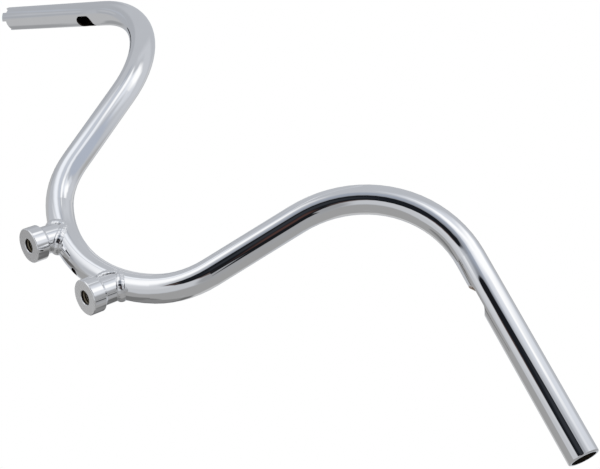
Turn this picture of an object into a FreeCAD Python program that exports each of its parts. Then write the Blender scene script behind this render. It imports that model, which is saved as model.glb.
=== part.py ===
"""Motorcycle handlebar: a bent steel tube on two turned riser bosses, welded on.

Frame: the origin is midway between the two boss faces, which lie on the yoke.
+X points to the rider's right, +Y forward and +Z up along the boss axes.
"""
import FreeCAD, Part
import math
import os
import Sketcher

SIZES = {
    # Bent tube
    "tube_diameter": 25.4,
    "tube_wall": 2.4,
    "end_rounding": 1.2,
    # Bends of one half, from the middle outwards
    "crown_radius": 128.0,
    "crown_half_angle": 35.5,
    "shoulder_radius": 76.2,
    "shoulder_angle": 38.3,
    "riser_length": 85.5,
    "grip_bend_radius": 101.6,
    "grip_bend_angle": 96.0,
    "grip_bend_twist_angle": 12.2,
    "forward_lean_angle": 32.6,
    "left_grip_length": 182.5,
    "right_grip_length": 154.0,
    # Riser bosses
    "boss_spacing": 88.9,
    "boss_height": 37.5,
    "flange_diameter": 31.75,
    "flange_length": 11.5,
    "flange_edge": 0.7,
    "neck_diameter": 25.0,
    "bolt_diameter": 12.7,
    "bolt_depth": 19.0,
    "bolt_mouth": 0.6,
    "drill_point_angle": 118.0,
    # Welds
    "weld_leg": 5.2,
    "weld_crown": 0.5,
    "weld_radius": 6.5,
    "weld_ripple": 3.0,
    # Wiring openings
    "wire_hole_diameter": 8.0,
    "wire_hole_angle": 16.0,
    "slot_width": 18.0,
    "slot_corner": 6.0,
    "slot_angle": 46.0,
    "left_slot_length": 27.0,
    "left_slot_from_end": 134.0,
    "right_slot_length": 22.0,
    "right_slot_from_end": 121.0,
    # Indexing notches in the throttle end
    "notch_depth": 6.7,
    "narrow_notch_width": 7.6,
    "narrow_notch_angle": 57.5,
    "wide_notch_width": 14.6,
    "wide_notch_angle": -40.0,
}
SIDES = {"left": -1, "right": 1}
HALF_TURN = 180
UP = FreeCAD.Vector(0, 0, 1)
FORWARD = FreeCAD.Vector(0, 1, 0)

doc = FreeCAD.newDocument("handlebar")
sheet = doc.addObject("Spreadsheet::Sheet", "sizes")
for row, (name, value) in enumerate(SIZES.items(), start=1):
    sheet.set(f"A{row}", name)
    sheet.set(f"B{row}", str(value))
    sheet.setAlias(f"B{row}", name)
doc.recompute()


def size(name):
    """A driving dimension, read back from the sheet."""
    return float(sheet.get(name))


def bound(kind, name, **expressions):
    """A document object whose properties follow the sheet."""
    item = doc.addObject(kind, name)
    for prop, expression in expressions.items():
        item.setExpression(prop, expression)
    return item


def cut_by(name, base, tool):
    """A cut of one object by another."""
    item = doc.addObject("Part::Cut", name)
    item.Base = base
    item.Tool = tool
    return item


def frame_at(origin, along, outward):
    """A placement with local X on along, local Z on outward and its origin at origin."""
    side = outward.cross(along)
    matrix = FreeCAD.Matrix(
        along.x, side.x, outward.x, origin.x,
        along.y, side.y, outward.y, origin.y,
        along.z, side.z, outward.z, origin.z,
        0, 0, 0, 1)
    return FreeCAD.Placement(matrix)


# Centreline of the tube
class Walker:
    """Walks along the centreline of the right half, laying straight runs and tangent arcs."""

    def __init__(self, point, heading, inward):
        self.point = point
        self.heading = heading
        self.inward = inward
        self.edges = []

    def straight(self, length):
        end = self.point + self.heading * length
        self.edges.append(Part.LineSegment(self.point, end).toShape())
        self.point = end

    def arc(self, radius, degrees):
        centre = self.point + self.inward * radius
        heading, inward = self.heading, self.inward

        def radial(turn):
            return inward * math.cos(turn) - heading * math.sin(turn)

        turn = math.radians(degrees)
        middle = centre - radial(turn / 2) * radius
        end = centre - radial(turn) * radius
        self.edges.append(Part.Arc(self.point, middle, end).toShape())
        self.heading = heading * math.cos(turn) + inward * math.sin(turn)
        self.inward = radial(turn)
        self.point = end

    def twist(self, degrees):
        self.inward = FreeCAD.Rotation(self.heading, degrees).multVec(self.inward)


LEAN = math.radians(size("forward_lean_angle"))
CROWN_INWARD = FreeCAD.Vector(0, math.sin(LEAN), math.cos(LEAN))
CROWN_RADIUS = size("crown_radius")


def crown_point(x):
    """The tube's axis on the crown arc, at a distance x from the middle."""
    sag_at_boss = CROWN_RADIUS - math.sqrt(CROWN_RADIUS ** 2 - (size("boss_spacing") / 2) ** 2)
    sag = CROWN_RADIUS - math.sqrt(CROWN_RADIUS ** 2 - x ** 2)
    boss_point = FreeCAD.Vector(x, 0, size("boss_height"))
    return boss_point + CROWN_INWARD * (sag - sag_at_boss)


def half_path(grip_length):
    """Centreline of the right half, from the middle of the crown to the grip's end."""
    walk = Walker(crown_point(0), FreeCAD.Vector(1, 0, 0), CROWN_INWARD)
    walk.arc(CROWN_RADIUS, size("crown_half_angle"))
    walk.arc(size("shoulder_radius"), size("shoulder_angle"))
    walk.straight(size("riser_length"))
    walk.twist(HALF_TURN - size("grip_bend_twist_angle"))
    walk.arc(size("grip_bend_radius"), size("grip_bend_angle"))
    walk.straight(grip_length)
    return walk


def mirrored(vector):
    return FreeCAD.Vector(-vector.x, vector.y, vector.z)


left_walk = half_path(size("left_grip_length"))
right_walk = half_path(size("right_grip_length"))
left_edges = [edge.mirror(FreeCAD.Vector(), FreeCAD.Vector(1, 0, 0)) for edge in left_walk.edges]
GRIP_END = {"left": mirrored(left_walk.point), "right": right_walk.point}
GRIP_AXIS = {"left": mirrored(left_walk.heading), "right": right_walk.heading}

path = doc.addObject("Part::Feature", "bar_path")
path.Shape = Part.Wire(list(reversed(left_edges)) + right_walk.edges)


# Tube, swept along the centreline, with rounded ends and an open bore
def swept(name, radius_expression):
    section = bound("Part::Circle", f"{name}_section", Radius=radius_expression)
    section.Placement = FreeCAD.Placement(
        GRIP_END["left"], FreeCAD.Rotation(UP, GRIP_AXIS["left"]))
    sweep = doc.addObject("Part::Sweep", name)
    sweep.Sections = [section]
    sweep.Spine = (path, [])
    sweep.Solid = True
    return sweep


tube_outside = swept("tube_outside", "sizes.tube_diameter / 2")
tube_bore = swept("tube_bore", "sizes.tube_diameter / 2 - sizes.tube_wall")
doc.recompute()


def end_edges(shape):
    """Numbers of the circular edges that lie on the two end faces."""
    ends = GRIP_END.values()
    found = []
    for number, edge in enumerate(shape.Edges, start=1):
        if edge.isClosed() and any(edge.CenterOfMass.isEqual(end, 1e-3) for end in ends):
            found.append(number)
    return found


tube_rounded = doc.addObject("Part::Fillet", "tube_rounded")
tube_rounded.Base = tube_outside
tube_rounded.Edges = [(number, size("end_rounding"), size("end_rounding"))
                      for number in end_edges(tube_outside.Shape)]
tube_hollow = cut_by("tube_hollow", tube_rounded, tube_bore)


# Cutters for the wiring openings and the notches of the throttle end
def round_the_grip(side, degrees):
    """The direction at an angle round a grip, from straight down towards the front."""
    axis = GRIP_AXIS[side]
    down = (UP * -1 + axis * axis.z).normalize()
    front = (FORWARD - axis * axis.y - down * FORWARD.dot(down)).normalize()
    turn = math.radians(degrees)
    return down * math.cos(turn) + front * math.sin(turn)


def wiring_slot(side):
    """A rounded opening through the tube's lower wall, inboard of a grip."""
    block = bound("Part::Box", f"{side}_slot_block", Length=f"sizes.{side}_slot_length",
                  Width="sizes.slot_width", Height="sizes.tube_diameter")
    inboard = GRIP_AXIS[side] * -1
    outward = round_the_grip(side, -size("slot_angle"))
    across = outward.cross(inboard)
    start = GRIP_END[side] + inboard * size(f"{side}_slot_from_end")
    block.Placement = frame_at(start - across * (size("slot_width") / 2), inboard, outward)
    doc.recompute()
    slot = doc.addObject("Part::Fillet", f"{side}_slot")
    slot.Base = block
    corner = size("slot_corner")
    slot.Edges = [(number, corner, corner) for number, edge in enumerate(block.Shape.Edges, start=1)
                  if abs(edge.tangentAt(edge.FirstParameter).dot(outward)) > 0.99]
    return slot


def throttle_notch(name):
    """A pass straight across the throttle end, which notches both walls."""
    block = bound("Part::Box", f"{name}_notch", Length="sizes.tube_diameter * 2",
                  Width=f"sizes.{name}_notch_width", Height="sizes.notch_depth * 2")
    inboard = GRIP_AXIS["right"] * -1
    across = round_the_grip("right", size(f"{name}_notch_angle"))
    sideways = inboard.cross(across)
    corner = GRIP_END["right"] - across * size("tube_diameter") - inboard * size("notch_depth")
    block.Placement = frame_at(corner - sideways * (size(f"{name}_notch_width") / 2), across, inboard)
    return block


wire_hole = bound("Part::Cylinder", "wire_hole", Radius="sizes.wire_hole_diameter / 2",
                  Height="sizes.tube_diameter")
WIRE_HOLE_TURN = math.radians(size("wire_hole_angle"))
DOWN_AND_BACK = UP * -math.cos(WIRE_HOLE_TURN) - FORWARD * math.sin(WIRE_HOLE_TURN)
wire_hole.Placement = FreeCAD.Placement(crown_point(0), FreeCAD.Rotation(UP, DOWN_AND_BACK))

openings = doc.addObject("Part::MultiFuse", "openings")
openings.Shapes = [wire_hole, wiring_slot("left"), wiring_slot("right"),
                   throttle_notch("narrow"), throttle_notch("wide")]
handlebar_tube = cut_by("handlebar_tube", tube_hollow, openings)


# Riser bosses, turned to one profile and coped to the tube
def boss_profile(sketch):
    """Half section of a boss: X is the radius, Y the height above the face."""
    cone = "sizes.bolt_diameter / 2 / tan(sizes.drill_point_angle / 2 * 1 deg)"
    step = "(sizes.flange_diameter - sizes.neck_diameter) / 2"
    corners = (
        ("mouth", "sizes.bolt_diameter / 2 + sizes.bolt_mouth", "0"),
        ("face_rim", "sizes.flange_diameter / 2 - sizes.flange_edge", "0"),
        ("edge", "sizes.flange_diameter / 2", "sizes.flange_edge"),
        ("flange_back", "sizes.flange_diameter / 2", "sizes.flange_length"),
        ("neck_start", "sizes.neck_diameter / 2", f"sizes.flange_length + {step}"),
        ("neck_end", "sizes.neck_diameter / 2", "sizes.boss_height"),
        ("axis_end", "0", "sizes.boss_height"),
        ("drill_tip", "0", f"sizes.bolt_depth + {cone}"),
        ("drill_shoulder", "sizes.bolt_diameter / 2", "sizes.bolt_depth"),
        ("thread_start", "sizes.bolt_diameter / 2", "sizes.bolt_mouth"),
    )
    count = len(corners)
    # A first guess with the corners spread on a circle keeps every line's length above nothing.
    turns = [2 * math.pi * number / count for number in range(count)]
    spread = [FreeCAD.Vector(2 + math.cos(turn), 2 + math.sin(turn), 0) * size("flange_diameter")
              for turn in turns]
    for number in range(count):
        sketch.addGeometry(Part.LineSegment(spread[number], spread[(number + 1) % count]))
    for number in range(count):
        sketch.addConstraint(Sketcher.Constraint("Coincident", number, 2, (number + 1) % count, 1))
    for number, (name, radius, height) in enumerate(corners):
        for kind, axis, expression in (("DistanceX", "radius", radius), ("DistanceY", "height", height)):
            index = sketch.addConstraint(Sketcher.Constraint(kind, -1, 1, number, 1, 1.0))
            sketch.renameConstraint(index, f"{name}_{axis}")
            sketch.setExpression(f"Constraints.{name}_{axis}", expression)


def riser_boss(side):
    body = doc.addObject("PartDesign::Body", f"{side}_boss_blank")
    planes = {plane.Role: plane for plane in body.Origin.OriginFeatures}
    sketch = body.newObject("Sketcher::SketchObject", f"{side}_boss_profile")
    sketch.AttachmentSupport = [(planes["XZ_Plane"], "")]
    sketch.MapMode = "FlatFace"
    boss_profile(sketch)
    doc.recompute()
    turned = body.newObject("PartDesign::Revolution", f"{side}_boss_turned")
    turned.Profile = sketch
    turned.ReferenceAxis = (sketch, ["V_Axis"])
    turned.Angle = 2 * HALF_TURN
    body.setExpression(".Placement.Base.x", f"{SIDES[side]} * sizes.boss_spacing / 2")
    return body, cut_by(f"riser_boss_{side}", body, tube_rounded)


# Weld beads: a row of overlapping drops along the saddle where a boss meets the tube
def off_the_tube(point):
    """The direction square to the tube's outside at a point on the crown."""
    centre = crown_point(0) + CROWN_INWARD * CROWN_RADIUS
    square = FreeCAD.Vector(1, 0, 0).cross(CROWN_INWARD)
    spoke = point - centre
    spoke = (spoke - square * spoke.dot(square)).normalize()
    return (point - centre - spoke * CROWN_RADIUS).normalize()


def weld_drop(point, along, off_neck, off_tube):
    """A round drop of weld metal that fills the corner of neck and tube and stands a little proud.

    Its poles lie on the weld's path and its seam is inside the metal.
    """
    corner_turn = off_neck.getAngle(off_tube)
    rise = size("weld_leg") * math.sin(corner_turn / 2) + size("weld_crown")
    outward = off_neck + off_tube
    outward = (outward - along * outward.dot(along)).normalize()
    drop = Part.makeSphere(size("weld_radius"))
    drop.Placement = frame_at(point - outward * (size("weld_radius") - rise), outward * -1, along)
    return drop


def weld_bead(side, blank):
    foot = FreeCAD.Vector(SIDES[side] * size("boss_spacing") / 2, 0, 0)
    neck = Part.makeCylinder(size("neck_diameter") / 2, size("boss_height"), foot, UP)
    neck_wall = max(neck.Faces, key=lambda face: face.Area)
    saddle = Part.Wire(Part.__sortEdges__(neck_wall.section(tube_rounded.Shape).Edges))
    count = round(saddle.Length / size("weld_ripple"))
    points = saddle.discretize(count + 1)[:-1]
    drops = []
    for number, point in enumerate(points):
        along = (points[(number + 1) % count] - points[number - 1]).normalize()
        off_neck = (point - foot - UP * (point - foot).z).normalize()
        drops.append(weld_drop(point, along, off_neck, off_the_tube(point)))
    bead = doc.addObject("Part::Feature", f"weld_bead_{side}")
    bead.Shape = drops[0].multiFuse(drops[1:]).cut([tube_rounded.Shape, neck, blank.Shape])
    return bead


nodes = [handlebar_tube]
for side in SIDES:
    blank, boss = riser_boss(side)
    doc.recompute()
    nodes += [boss, weld_bead(side, blank)]
doc.recompute()

# Every object must have rebuilt, and every sub-part be one sound solid
for item in doc.Objects:
    if "Invalid" in item.State or "Error" in item.State:
        raise RuntimeError(f"{item.Label} failed: {item.State}")
for node in nodes:
    if node.Shape.isNull() or not node.Shape.isValid() or len(node.Shape.Solids) != 1:
        raise RuntimeError(f"{node.Label} is not one sound solid")

os.makedirs("parts", exist_ok=True)
for node in nodes:
    node.Shape.exportStep(f"parts/{node.Label}.step")
    print(node.Label, "volume", round(node.Shape.Volume, 1), "faces", len(node.Shape.Faces))
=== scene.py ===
"""Looks of a chrome-plated motorcycle handlebar: plating, bare steel, threads, studio and camera."""
import math

import bmesh
import bpy
import numpy as np
from mathutils import Matrix, Vector
from mathutils.kdtree import KDTree


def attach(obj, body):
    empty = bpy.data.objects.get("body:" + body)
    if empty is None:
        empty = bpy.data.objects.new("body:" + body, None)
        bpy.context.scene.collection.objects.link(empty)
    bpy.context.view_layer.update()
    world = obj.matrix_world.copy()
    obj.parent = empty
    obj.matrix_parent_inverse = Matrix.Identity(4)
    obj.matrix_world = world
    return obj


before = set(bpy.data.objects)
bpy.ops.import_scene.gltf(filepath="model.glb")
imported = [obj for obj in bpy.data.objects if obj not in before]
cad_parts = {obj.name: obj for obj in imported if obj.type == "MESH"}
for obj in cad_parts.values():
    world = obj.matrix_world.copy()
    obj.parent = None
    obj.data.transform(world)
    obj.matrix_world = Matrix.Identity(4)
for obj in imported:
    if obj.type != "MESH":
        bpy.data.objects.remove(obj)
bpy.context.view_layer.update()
scene = bpy.context.scene
MM = 0.001

# Sizes of the bar, in millimetres and degrees
CROWN_RADIUS, CROWN_ANGLE = 128.0, 35.5
SHOULDER_RADIUS, SHOULDER_ANGLE = 76.2, 38.3
RISER_LENGTH = 85.5
GRIP_BEND_RADIUS, GRIP_BEND_ANGLE, GRIP_BEND_TWIST = 101.6, 96.0, 12.2
FORWARD_LEAN = 32.6
GRIP_LENGTHS = {-1: 182.5, 1: 154.0}
BOSS_SPACING, BOSS_HEIGHT = 88.9, 37.5
BORE_RADIUS, TUBE_RADIUS = 10.3, 12.7
# Reach of the plated ends, and how far the corners of flat facets lie off a round wall
END_ZONE, TUBE_SLACK, HOLE_SLACK = 12.0, 0.4, 0.05
# Middles of the wiring openings and of the notched end, and how far their edges reach
OPENINGS = (((-287.7, 67.4, 206.0), 22.0), ((274.9, 74.8, 208.0), 19.0),
            ((0.0, -7.5, 19.7), 9.0), ((392.0, 35.7, 194.0), 16.0))
# End of the right pull-back bend, the way into it, and the mark that the bending tool leaves there
BEND_END, INTO_BEND = (285.95, 79.98, 217.5), (-0.9043, 0.37725, 0.1998)
MARK_PLACE, MARK_REACH, MARK_DEPTH = 19.5, 46.0, 2.4
MARK_LEVELS = (0.0, 0.5), (0.2, 0.5), (0.38, 0.7), (0.62, 0.3), (0.8, 0.5), (1.0, 0.5)
# Turning rings on the boss faces, and how steeply a face may tilt and still carry them
RING_PITCH, RING_DEPTH = 0.42, 0.004
FACE_TILT_FULL, FACE_TILT_NONE = -0.98, -0.9
# Finish of the bosses: roughness of their round sides and of their dull faces, which are less metallic
SIDE_ROUGHNESS, FACE_ROUGHNESS, FACE_METALLIC = 0.02, 0.34, 0.84
BOLT_RADIUS, BOLT_MOUTH, BOLT_DEPTH = 6.35, 0.6, 19.0
# The thread's ridge: half its width in pitches at root and crest, its root in the wall, and its least height
THREAD_PITCH, THREAD_CREST_RADIUS, THREAD_SEGMENTS = 25.4 / 13, 5.4, 40
ROOT_HALF, CREST_HALF, ROOT_SUNK, RIDGE_LEAST = 0.47, 0.075, 0.03, 0.02


def smoothstep(value):
    value = np.clip(value, 0.0, 1.0)
    return value * value * (3 - 2 * value)


def in_metres(point):
    return [value * MM for value in point]


# Materials
class Graph:
    """A node material under construction."""

    def __init__(self, name):
        self.material = bpy.data.materials.new(name)
        self.material.use_nodes = True
        self.nodes = self.material.node_tree.nodes
        self.links = self.material.node_tree.links
        self.shader = self.nodes["Principled BSDF"]
        self.place = self.add("ShaderNodeTexCoord").outputs["Object"]

    def add(self, kind, **values):
        node = self.nodes.new(kind)
        for key, value in values.items():
            if hasattr(node, key):
                setattr(node, key, value)
            else:
                node.inputs[key.replace("_", " ")].default_value = value
        return node

    def link(self, source, target):
        self.links.new(source, target)

    def noise(self, scale, detail=4.0, roughness=0.55):
        node = self.add("ShaderNodeTexNoise", Scale=scale, Detail=detail, Roughness=roughness)
        self.link(self.place, node.inputs["Vector"])
        return node.outputs["Fac"]

    def remap(self, source, low, high, start=0.3, end=0.7):
        node = self.add("ShaderNodeMapRange")
        for key, value in (("From Min", start), ("From Max", end), ("To Min", low), ("To Max", high)):
            node.inputs[key].default_value = value
        self.link(source, node.inputs["Value"])
        return node.outputs["Result"]

    def vector_math(self, operation, first, second=(0, 0, 0)):
        node = self.add("ShaderNodeVectorMath", operation=operation)
        self.link(first, node.inputs[0])
        node.inputs[1].default_value = second
        return node.outputs

    def math(self, operation, first, second=0.0):
        node = self.add("ShaderNodeMath", operation=operation)
        for index, value in enumerate((first, second)):
            if isinstance(value, (int, float)):
                node.inputs[index].default_value = value
            else:
                self.link(value, node.inputs[index])
        return node.outputs[0]

    def tint(self, source, stops):
        """Colours along a ramp: (place, colour) pairs."""
        ramp = self.add("ShaderNodeValToRGB")
        elements = ramp.color_ramp.elements
        while len(elements) < len(stops):
            elements.new(0.5)
        for element, (place, colour) in zip(elements, stops):
            element.position = place
            element.color = (*colour, 1)
        self.link(source, ramp.inputs["Fac"])
        return ramp.outputs["Color"]

    def bump(self, height, distance, strength, below=None):
        node = self.add("ShaderNodeBump", Strength=strength, Distance=distance)
        self.link(height, node.inputs["Height"])
        if below is not None:
            self.link(below, node.inputs["Normal"])
        return node.outputs["Normal"]


def rounded_edges(graph, radius, places):
    """A normal that rounds the edges, as the polishing wheel does, within reach of the given places."""
    bevel = graph.add("ShaderNodeBevel", samples=8, Radius=radius * MM).outputs["Normal"]
    if not places:
        return bevel
    close = 0.0
    for centre, reach in places:
        gap = graph.vector_math("DISTANCE", graph.place, in_metres(centre))["Value"]
        close = graph.math("MAXIMUM", close, graph.math("LESS_THAN", gap, reach * MM))
    # Sockets of a mix of two vectors
    factor, far_away, close_by, mixed = 0, 4, 5, 1
    mix = graph.add("ShaderNodeMix", data_type="VECTOR")
    graph.link(close, mix.inputs[factor])
    graph.link(graph.add("ShaderNodeNewGeometry").outputs["Normal"], mix.inputs[far_away])
    graph.link(bevel, mix.inputs[close_by])
    return mix.outputs[mixed]


def plating(name, ripple_scale, ripple_height, haze, edge_radius, edge_places=()):
    """Polished chrome: faint haze in the polish, rounded edges and a slight waviness of the metal below."""
    graph = Graph(name)
    graph.shader.inputs["Metallic"].default_value = 1.0
    cloud = graph.noise(38.0)
    graph.link(graph.tint(cloud, ((0.3, (0.92, 0.92, 0.922)), (0.7, (0.94, 0.94, 0.942)))),
               graph.shader.inputs["Base Color"])
    grain = graph.noise(2400.0, detail=2.0)
    graph.link(graph.remap(grain, haze[0], haze[1]), graph.shader.inputs["Roughness"])
    rounded = rounded_edges(graph, edge_radius, edge_places)
    wave = graph.bump(graph.noise(ripple_scale, detail=2.0), ripple_height * MM, 0.5, rounded)
    graph.link(wave, graph.shader.inputs["Normal"])
    return graph, wave


def tube_chrome():
    """Plating over bent tube: the bending tool leaves a shallow mark where each pull-back bend ends."""
    graph, wave = plating("chrome_tube", ripple_scale=60.0, ripple_height=0.02, haze=(0.008, 0.02),
                          edge_radius=0.7, edge_places=OPENINGS)
    either_side = graph.vector_math("ABSOLUTE", graph.place)["Vector"]
    from_end = graph.vector_math("SUBTRACT", either_side, in_metres(BEND_END))["Vector"]
    along = graph.vector_math("DOT_PRODUCT", from_end, INTO_BEND)["Value"]
    start, end = in_metres((MARK_PLACE - MARK_REACH, MARK_PLACE + MARK_REACH))
    spot = graph.remap(along, 0.0, 1.0, start, end)
    mark = graph.tint(spot, [(place, (level, level, level)) for place, level in MARK_LEVELS])
    mark.node.color_ramp.interpolation = "B_SPLINE"
    graph.link(graph.bump(mark, MARK_DEPTH * MM, 1.0, wave), graph.shader.inputs["Normal"])
    return graph.material


def boss_chrome():
    """Plating over turned steel: the flat faces are duller and show fine rings."""
    graph, wave = plating("chrome_boss", ripple_scale=90.0, ripple_height=0.01, haze=(0.015, 0.035),
                          edge_radius=0.5)
    split = graph.add("ShaderNodeSeparateXYZ")
    graph.link(graph.place, split.inputs[0])
    x, y = graph.math("ABSOLUTE", split.outputs["X"]), split.outputs["Y"]
    off_axis = graph.math("SUBTRACT", x, BOSS_SPACING / 2 * MM)
    squares = graph.math("ADD", graph.math("MULTIPLY", off_axis, off_axis), graph.math("MULTIPLY", y, y))
    radius = graph.math("SQRT", squares)
    rings = graph.math("SINE", graph.math("MULTIPLY", radius, 2 * math.pi / (RING_PITCH * MM)))
    facing = graph.add("ShaderNodeSeparateXYZ")
    graph.link(graph.add("ShaderNodeNewGeometry").outputs["Normal"], facing.inputs[0])
    on_face = graph.remap(facing.outputs["Z"], 1.0, 0.0, FACE_TILT_FULL, FACE_TILT_NONE)
    height = graph.math("MULTIPLY", rings, on_face)
    graph.link(graph.bump(height, RING_DEPTH * MM, 0.5, wave), graph.shader.inputs["Normal"])
    roughness = graph.remap(on_face, SIDE_ROUGHNESS, FACE_ROUGHNESS, 0.0, 1.0)
    graph.link(roughness, graph.shader.inputs["Roughness"])
    graph.link(graph.remap(on_face, 1.0, FACE_METALLIC, 0.0, 1.0), graph.shader.inputs["Metallic"])
    return graph.material


def weld_chrome():
    """Plating over a weld bead, whose ripples it softens."""
    graph, _ = plating("chrome_weld", ripple_scale=300.0, ripple_height=0.015, haze=(0.02, 0.05),
                       edge_radius=1.8)
    return graph.material


def thin_chrome():
    """Thin plating on the walls of the openings, where the steel shows through brown."""
    graph = Graph("chrome_thin")
    graph.shader.inputs["Metallic"].default_value = 1.0
    stain = graph.noise(420.0, detail=5.0)
    graph.link(graph.tint(stain, ((0.35, (0.32, 0.21, 0.15)), (0.65, (0.66, 0.56, 0.46)))),
               graph.shader.inputs["Base Color"])
    graph.link(graph.remap(stain, 0.25, 0.12), graph.shader.inputs["Roughness"])
    graph.link(graph.bump(graph.noise(1800.0), 0.03 * MM, 0.5), graph.shader.inputs["Normal"])
    return graph.material


def bare_steel():
    """Unplated steel inside the tube: dark mill scale with brown stains."""
    graph = Graph("bare_steel")
    stain = graph.noise(120.0, detail=6.0)
    stops = (0.3, (0.016, 0.014, 0.012)), (0.55, (0.036, 0.029, 0.022)), (0.75, (0.08, 0.056, 0.038))
    graph.link(graph.tint(stain, stops), graph.shader.inputs["Base Color"])
    graph.shader.inputs["Metallic"].default_value = 0.75
    graph.link(graph.remap(stain, 0.35, 0.6), graph.shader.inputs["Roughness"])
    graph.link(graph.bump(graph.noise(600.0), 0.03 * MM, 0.5), graph.shader.inputs["Normal"])
    return graph.material


def thread_steel():
    """Cut thread, oiled: dark steel with brown stains at random."""
    graph = Graph("thread_steel")
    stain = graph.noise(900.0, detail=5.0)
    graph.link(graph.tint(stain, ((0.3, (0.09, 0.076, 0.055)), (0.7, (0.27, 0.235, 0.175)))),
               graph.shader.inputs["Base Color"])
    graph.shader.inputs["Metallic"].default_value = 1.0
    graph.link(graph.remap(stain, 0.2, 0.4), graph.shader.inputs["Roughness"])
    graph.link(graph.bump(graph.noise(4000.0), 0.02 * MM, 0.5), graph.shader.inputs["Normal"])
    return graph.material


# Plating and bare steel on the solids
def centreline():
    """Points about 2 mm apart along the tube's axis, in millimetres."""
    lean = math.radians(FORWARD_LEAN)
    inward = Vector((0, math.sin(lean), math.cos(lean)))
    sag = CROWN_RADIUS - math.sqrt(CROWN_RADIUS ** 2 - (BOSS_SPACING / 2) ** 2)
    crown = Vector((0, 0, BOSS_HEIGHT)) - inward * sag
    halves = []
    for side, grip_length in GRIP_LENGTHS.items():
        points = []
        point, heading, towards = crown.copy(), Vector((1, 0, 0)), inward.copy()
        runs = ((CROWN_RADIUS, CROWN_ANGLE, 0), (SHOULDER_RADIUS, SHOULDER_ANGLE, 0), (None, RISER_LENGTH, 0),
                (GRIP_BEND_RADIUS, GRIP_BEND_ANGLE, 180 - GRIP_BEND_TWIST), (None, grip_length, 0))
        for radius, amount, twist in runs:
            towards = Matrix.Rotation(math.radians(twist), 3, heading) @ towards
            length = amount if radius is None else radius * math.radians(amount)
            steps = math.ceil(length / 2)
            for step in range(steps):
                if radius is None:
                    point = point + heading * (length / steps)
                else:
                    turn = length / steps / radius
                    centre = point + towards * radius
                    heading, towards = (heading * math.cos(turn) + towards * math.sin(turn),
                                        towards * math.cos(turn) - heading * math.sin(turn))
                    point = centre - towards * radius
                points.append(Vector((point.x * side, point.y, point.z)))
        halves.append(points)
    left, right = halves
    return left[::-1] + right


def tube_zones(points):
    """A test for the tube's faces: 0 on the plated outside, 1 in the bore, 2 on the walls of the openings."""
    tree = KDTree(len(points))
    for index, point in enumerate(points):
        tree.insert(point, index)
    tree.balance()
    left_end, right_end = points[0], points[-1]

    def zone(corners):
        radii = [tree.find(corner / MM)[2] for corner in corners]
        if max(radii) < BORE_RADIUS + TUBE_SLACK:
            return 1
        if min(radii) > TUBE_RADIUS - TUBE_SLACK:
            return 0
        near_end = any((corner / MM - end).length < TUBE_RADIUS + END_ZONE
                       for corner in corners for end in (left_end, right_end))
        return 0 if near_end else 2

    return zone


def boss_zones(corners):
    """A test for a boss's faces: 1 in the bolt hole and 0 elsewhere."""
    return int(all(math.hypot(abs(corner.x) / MM - BOSS_SPACING / 2, corner.y / MM) < BOLT_RADIUS + HOLE_SLACK
                   for corner in corners))


def dress(name, materials, zone=None):
    """Materials on a node, one for each zone of its faces."""
    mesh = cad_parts[name].data
    mesh.materials.clear()
    for material in materials:
        mesh.materials.append(material)
    if zone is not None:
        for face in mesh.polygons:
            face.material_index = zone([mesh.vertices[index].co for index in face.vertices])


steel = bare_steel()
boss_plating, weld_plating = boss_chrome(), weld_chrome()
dress("handlebar_tube", (tube_chrome(), steel, thin_chrome()), tube_zones(centreline()))
for side in ("left", "right"):
    dress(f"riser_boss_{side}", (boss_plating, steel), boss_zones)
    dress(f"weld_bead_{side}", (weld_plating,))


# Threads in the boss holes
def thread(name, x):
    """A helical ridge with a flat crest, from the mouth of a boss hole to its shoulder."""
    root, crest = BOLT_RADIUS + ROOT_SUNK, THREAD_CREST_RADIUS
    lowest = root - RIDGE_LEAST
    turns = (BOLT_DEPTH - BOLT_MOUTH) / THREAD_PITCH - 1
    count = round(turns * THREAD_SEGMENTS)
    build = bmesh.new()
    rings = []
    for step in range(count + 1):
        turn, turns_left = step / THREAD_SEGMENTS, (count - step) / THREAD_SEGMENTS
        angle = 2 * math.pi * turn
        # The ridge grows and runs out over half a turn
        grown = smoothstep(turn * 2) * smoothstep(turns_left * 2)
        height = BOLT_MOUTH + THREAD_PITCH * (0.5 + turn)
        top = lowest - (lowest - crest) * grown
        profile = ((root, -ROOT_HALF), (top, -CREST_HALF), (top, CREST_HALF), (root, ROOT_HALF))
        rings.append([build.verts.new((x + radius * math.cos(angle) * MM, radius * math.sin(angle) * MM,
                                       (height + offset * THREAD_PITCH) * MM)) for radius, offset in profile])
    for low, high in zip(rings, rings[1:]):
        for corner in range(4):
            after = (corner + 1) % 4
            build.faces.new((low[corner], low[after], high[after], high[corner]))
    build.faces.new(reversed(rings[0]))
    build.faces.new(rings[-1])
    bmesh.ops.recalc_face_normals(build, faces=build.faces)
    mesh = bpy.data.meshes.new(name)
    build.to_mesh(mesh)
    build.free()
    piece = bpy.data.objects.new(name, mesh)
    scene.collection.objects.link(piece)
    mesh.materials.append(cut_steel)
    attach(piece, "root")


cut_steel = thread_steel()
thread("thread_left", -BOSS_SPACING / 2 * MM)
thread("thread_right", BOSS_SPACING / 2 * MM)

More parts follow.
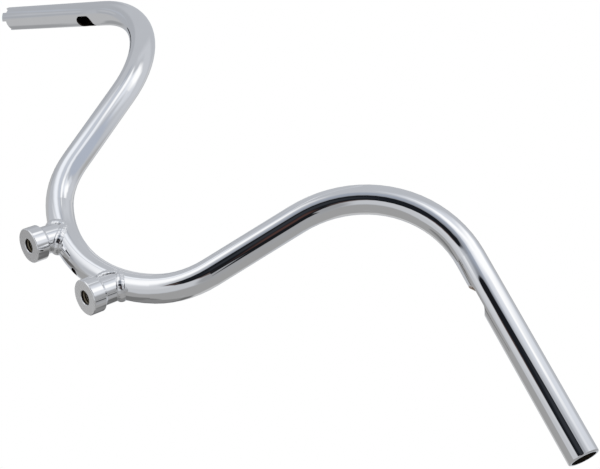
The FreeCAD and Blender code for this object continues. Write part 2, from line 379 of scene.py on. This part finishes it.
# Camera, from the front left and below
CAMERA_PLACE = Vector((-0.70881, 0.62073, -0.46037))
FOCAL_PIXELS, PHOTO_WIDTH, SENSOR_WIDTH = 1189.27, 600, 36.0
RIGHT = Vector((-0.66217, 0.13068, 0.73787)).normalized()
DOWN = Vector((-0.48703, -0.82340, -0.29124)).normalized()
AHEAD = RIGHT.cross(DOWN).normalized()
camera_data = bpy.data.cameras.new("camera")
camera_data.sensor_width = SENSOR_WIDTH
camera_data.lens = FOCAL_PIXELS / PHOTO_WIDTH * SENSOR_WIDTH
camera_data.clip_end = 200.0
camera = bpy.data.objects.new("camera", camera_data)
turned = Matrix((RIGHT, -DOWN, -AHEAD)).transposed().to_4x4()
camera.matrix_world = Matrix.Translation(CAMERA_PLACE) @ turned
scene.collection.objects.link(camera)
bpy.context.scene.camera = camera

# Studio: white all round, a pale floor, and flats that the chrome reflects
scene.view_settings.view_transform = "Standard"
world = bpy.data.worlds.new("studio")
scene.world = world
world.use_nodes = True
world.node_tree.nodes["Background"].inputs["Color"].default_value = (1, 1, 1, 1)
world.node_tree.nodes["Background"].inputs["Strength"].default_value = 1.0

FLOOR_HEIGHT, FLOOR_REACH = -4.3, 120.0
# Share of the light that the plating gives back, and how a bluer or browner tone shifts red, green and blue
REFLECTANCE = 0.93
TO_BLUE, TO_BROWN = np.array((-0.45, -0.1, 0.55)), np.array((-0.65, 0.25, 0.4))
# Domes of curved flats: one round the whole bar and small ones round its far half and its bosses
STUDIO = Vector((-0.05, 0.05, 0.12)), 0.8
FAR_HALF = Vector((0.30, 0.10, 0.20)), 0.30
BOSSES = Vector((0.0, 0.0, 0.02)), 0.16


def staged(name, vertices, faces, material):
    """A piece of the studio, which isn't part of the bar."""
    mesh = bpy.data.meshes.new(name)
    mesh.from_pydata(vertices, [], faces)
    mesh.materials.append(material)
    item = bpy.data.objects.new(name, mesh)
    scene.collection.objects.link(item)
    return item


floor_graph = Graph("pale_floor")
pale = floor_graph.tint(floor_graph.noise(0.8), ((0.3, (0.89, 0.89, 0.89)), (0.7, (0.91, 0.91, 0.91))))
floor_graph.link(pale, floor_graph.shader.inputs["Base Color"])
floor_graph.shader.inputs["Roughness"].default_value = 0.9
floor_corners = [(x * FLOOR_REACH, y * FLOOR_REACH, FLOOR_HEIGHT)
                 for x, y in ((-1, -1), (1, -1), (1, 1), (-1, 1))]
staged("floor", floor_corners, [(0, 1, 2, 3)], floor_graph.material)


def glow_material(name):
    """Light from a dome, inwards: its tone where it is covered, and clear elsewhere."""
    graph = Graph(name)
    graph.nodes.remove(graph.shader)
    glow = graph.add("ShaderNodeEmission", Strength=1.0)
    graph.link(graph.add("ShaderNodeAttribute", attribute_name="tone").outputs["Color"], glow.inputs["Color"])
    clear = graph.add("ShaderNodeBsdfTransparent")
    mix = graph.add("ShaderNodeMixShader")
    cover = graph.add("ShaderNodeAttribute", attribute_name="cover").outputs["Fac"]
    inward = graph.add("ShaderNodeNewGeometry").outputs["Backfacing"]
    graph.link(graph.math("MULTIPLY", cover, inward), mix.inputs[0])
    graph.link(clear.outputs[0], mix.inputs[1])
    graph.link(glow.outputs[0], mix.inputs[2])
    graph.link(mix.outputs[0], graph.nodes["Material Output"].inputs["Surface"])
    return graph.material


def cover_of(outline, soft, across, up):
    """How far each point lies inside an outline: 0 outside, 1 inside, with a soft edge, all in degrees."""
    nearest = np.full(across.shape, np.inf)
    inside = np.zeros(across.shape, bool)
    for (x0, y0), (x1, y1) in zip(outline, outline[1:] + outline[:1]):
        if y0 != y1:
            inside ^= ((y0 > up) != (y1 > up)) & (across < x0 + (up - y0) / (y1 - y0) * (x1 - x0))
        run = (x1 - x0) ** 2 + (y1 - y0) ** 2
        part = np.clip(((across - x0) * (x1 - x0) + (up - y0) * (y1 - y0)) / run, 0, 1)
        nearest = np.minimum(nearest, np.hypot(across - x0 - part * (x1 - x0), up - y0 - part * (y1 - y0)))
    return smoothstep(np.where(inside, nearest, -nearest) / soft / 2 + 0.5)


def shade(level, blue=0):
    """Light that the plating shows as an sRGB level of 0 to 255, bluer, or browner where blue is negative."""
    levels = (level + blue * (TO_BLUE if blue > 0 else TO_BROWN)) / 255
    light = np.where(levels > 0.04045, ((levels + 0.055) / 1.055) ** 2.4, levels / 12.92)
    return light / REFLECTANCE


def dome(name, around, base, flats, whole):
    """A dome painted with flats: outline, tone and softness of the edge. Outlines are in degrees across and up,
    as seen from the dome's middle, with 0, 0 towards the camera. A whole dome has its base tone between the
    flats, and any other is clear there."""
    centre, radius = around
    across, up = np.meshgrid(np.linspace(-180, 180, 361), np.linspace(-90, 90, 181))
    tones = np.tile(base, (*across.shape, 1))
    covers = np.full(across.shape, float(whole))
    for outline, tone, soft in flats:
        cover = cover_of(outline, soft, across, up)
        tones += cover[..., None] * (tone - tones)
        covers += cover * (1 - covers)
    a, e = np.radians(across.ravel()), np.radians(up.ravel())
    level = np.outer(np.sin(a) * np.cos(e), RIGHT) - np.outer(np.cos(a) * np.cos(e), AHEAD)
    rays = level - np.outer(np.sin(e), DOWN)
    rows, columns = across.shape
    first = (np.arange(rows - 1)[:, None] * columns + np.arange(columns - 1)).ravel()
    faces = np.stack((first, first + 1, first + columns + 1, first + columns), axis=1)
    faces = faces[covers.ravel()[faces].max(axis=1) > 0]
    item = staged(name, (np.array(centre) + rays * radius).tolist(), faces.tolist(), glow_material(name))
    colours = np.concatenate((tones.reshape(-1, 3), np.ones((tones.size // 3, 1))), axis=1)
    item.data.attributes.new("tone", "FLOAT_COLOR", "POINT").data.foreach_set("color", colours.ravel())
    item.data.attributes.new("cover", "FLOAT", "POINT").data.foreach_set("value", covers.ravel())
    item.visible_camera = item.visible_diffuse = item.visible_shadow = False


dome("studio_dome", STUDIO, shade(185, 9), (
    # Table, and the lower walls
    ([(-181, -90), (181, -90), (181, -40), (150, -44), (60, -42), (20, -38), (-60, -36), (-70, -22),
      (-84, -14), (-95, -8), (-112, -8), (-125, -20), (-140, -26), (-181, -26)], shade(155, 1), 4),
    ([(12, -46), (60, -46), (112, -40), (112, -6), (60, 2), (34, -8), (20, -16)], shade(156, 4), 7),
    ([(-72, -17), (-60, -33), (0, -33), (14, -28), (8, -12), (-6, -6), (-22, -3), (-34, 2), (-60, 2),
      (-84, -4)], shade(193, 7), 4),
    ([(-66, -8), (-36, -8), (-30, -2), (-40, 12), (-66, 12)], shade(203, 7), 5),
    ([(-3, -10), (8, -12), (16, -18), (22, -38), (8, -38), (0, -32), (-3, -22)], shade(152, 5), 5),
    ([(-124, -17), (-102, -17), (-97, -9), (-112, -4), (-124, -8)], shade(98, -2), 2.5),
    ([(-98, -10), (-84, -12), (-84, 3), (-94, 2)], shade(164, 2), 4),
    ([(142, -60), (181, -60), (181, -30), (150, -34)], shade(190, 2), 6),
    ([(-181, -58), (-168, -50), (-158, -30), (-181, -20)], shade(195, 1), 6),
    ([(-92, 4), (-84, 4), (-84, 22), (-92, 18)], shade(150, 10), 4),
    ([(122, -14), (181, -14), (181, 14), (150, 22), (128, 14)], shade(170, 3), 6),
    ([(-181, 22), (-164, 26), (-164, 44), (-181, 46)], shade(242, 1), 5),
    # Glow round the right light box, the gap between the boxes, and the two boxes
    ([(10, 36), (30, 30), (52, 22), (70, 10), (92, 6), (106, 26), (100, 50), (60, 68),
      (6, 66)], shade(218, 12), 9),
    ([(18, 10), (30, 10), (30, 22), (20, 24)], shade(158, 10), 5),
    ([(-30, 32), (-22, 46), (-13, 55), (0, 51), (10, 44), (13, 34), (0, 30), (-14, 30)], shade(161, 20), 7),
    ([(-32, 22), (-22, 32), (-12, 37), (0, 36), (6, 31), (0, 26), (-14, 26)], shade(141, 12), 4),
    ([(-88, 40), (-72, 20), (-58, 12), (-48, 14), (-46, 60), (-88, 62)], shade(238, 7), 12),
    ([(-66, 22), (-50, 18), (-47, 30), (-44, 40), (-36, 50), (-28, 60), (-50, 62),
      (-68, 56)], shade(253, 3), 8),
    ([(18, 48), (30, 44), (48, 38), (62, 30), (80, 28), (92, 28), (94, 44), (80, 48), (62, 47), (52, 49),
      (45, 57), (38, 61), (22, 63)], shade(255, 2), 7),
    ([(49, 6), (64, 4), (62, 28), (49, 28)], shade(224, 9), 7),
    ([(49, 26), (62, 24), (62, 41), (49, 41)], shade(255, 1), 5),
    ([(58, -25), (88, -28), (88, -32), (58, -29)], shade(60, 4), 1.5),
    # Black opening where the camera stands, with brown at its edge
    ([(-38, 12.5), (-36.5, 17), (-33.5, 20), (-29, 23.2), (-25, 25.4), (-22, 27.2), (-19, 29), (-15, 30),
      (-11, 31), (-6, 31.4), (0, 30.6), (4, 28.8), (9.2, 26), (13.6, 23), (16.4, 19.4), (18, 16), (18.4, 10),
      (20, 0), (25, -8), (30, -18), (31, -23.5), (27, -25.5), (22, -27), (17, -27.5), (15.2, -23), (14.5, -18),
      (12, -15.5), (8, -14.3), (4, -12.5), (0, -10.5), (-3, -8), (-6, -4.6), (-9, -3.8), (-14, -3.3),
      (-18, -3.5), (-22, -2.4), (-25.5, -1), (-29, 0.9), (-32, 3.8), (-34.6, 6.8),
      (-37, 9.5)], shade(25, 6), 1.3),
    ([(-31, 12), (-24, 18), (-14, 25), (0, 26), (11, 19), (8, 8), (-6, 5), (-22, 7)], shade(29, 8), 3),
    ([(-12, 10), (-6, 22), (4, 24), (11, 18), (8, 8), (-2, 6)], shade(50, 8), 5),
    ([(-40, 9.5), (-37, 14), (-31, 12), (-28, 6), (-33, 6)], shade(72, -16), 2),
    ([(5, 4), (16, 4), (17, -8), (8, -8)], shade(58, -22), 3),
    ([(-12, -3), (0, -4), (2, -9), (-6, -8)], shade(85, -16), 3),
), True)

dome("far_dome", FAR_HALF, shade(185, 9), (
    # All that the far half sees, its darker left and the faint streaks there
    ([(-181, -58), (-78, -58), (-76, 0), (-30, 4), (-4, -8), (8, -22), (14, -40), (30, -48), (50, -56),
      (60, -66), (134, -66), (140, 0), (181, 10), (181, 90), (-181, 90)], shade(186, 9), 3),
    ([(-181, -60), (-78, -60), (-78, 44), (-100, 54), (-150, 58), (-181, 56)], shade(173, 9), 8),
    ([(-181, -60), (-78, -60), (-78, -6), (-181, -6)], shade(179, 3), 6),
    ([(-168, -38), (-136, -38), (-132, -26), (-140, -4), (-160, -12)], shade(152, 4), 6),
    ([(-118, 23), (-98, 22), (-86, 28), (-104, 33)], shade(180, 13), 2.5),
    ([(-104, 7), (-86, 8), (-84, 17), (-102, 16)], shade(182, 8), 3),
    ([(-104, -3), (-84, -2), (-84, 3), (-104, 3)], shade(168, 9), 2),
    # Pale wall, its dark edge, and the windows with the lavender below them
    ([(-52, 18), (-26, 4), (-10, 2), (-6, 22), (-14, 34), (-34, 34), (-54, 30)], shade(242, 10), 12),
    ([(-10, 52), (-6, 38), (0, 28), (8, 34), (6, 48)], shade(174, 14), 4),
    ([(-6, 12), (-2, -4), (6, -14), (12, 0), (13, 24), (6, 34), (0, 30), (-3, 22)], shade(199, 16), 4),
    ([(60, -36), (100, -40), (96, 30), (60, 42), (30, 46), (36, 30), (60, 24)], shade(199, 9), 10),
    ([(100, -66), (134, -66), (128, -4), (112, -10)], shade(200, 3), 6),
    ([(28, -10), (42, -12), (44, 14), (30, 16)], shade(226, 12), 5),
    ([(38, -24), (58, -26), (62, -14), (44, -10)], shade(212, 11), 4),
    ([(6, -18), (14, -22), (24, -13), (24, -2), (12, -4)], shade(236, 10), 4),
    ([(15, -4), (24, -3), (29, 6), (31, 16), (29, 28), (24, 34), (18, 26), (15, 12)], shade(253, 4), 5),
    ([(38, 2), (44, -12), (56, -14), (64, -4), (60, 10), (50, 18), (42, 12)], shade(255, 2), 6),
    ([(16, -24), (24, -16), (36, -18), (44, -26), (50, -34), (46, -44), (26, -44),
      (16, -40)], shade(180, 20), 4),
    ([(52, -46), (92, -46), (92, -66), (52, -66)], shade(167, 1), 4),
), False)

dome("boss_dome", BOSSES, shade(130, 1), (
    # Dark table below the bosses
    ([(90, -42), (181, -34), (181, -90), (62, -90), (72, -70), (84, -54)], shade(130, 1), 3),
    ([(90, -42), (181, -34), (181, -51), (92, -51)], shade(102, 1), 3),
    ([(-181, -30), (-168, -30), (-150, -50), (-60, -72), (62, -72), (62, -90),
      (-181, -90)], shade(116, 1), 4),
), False)
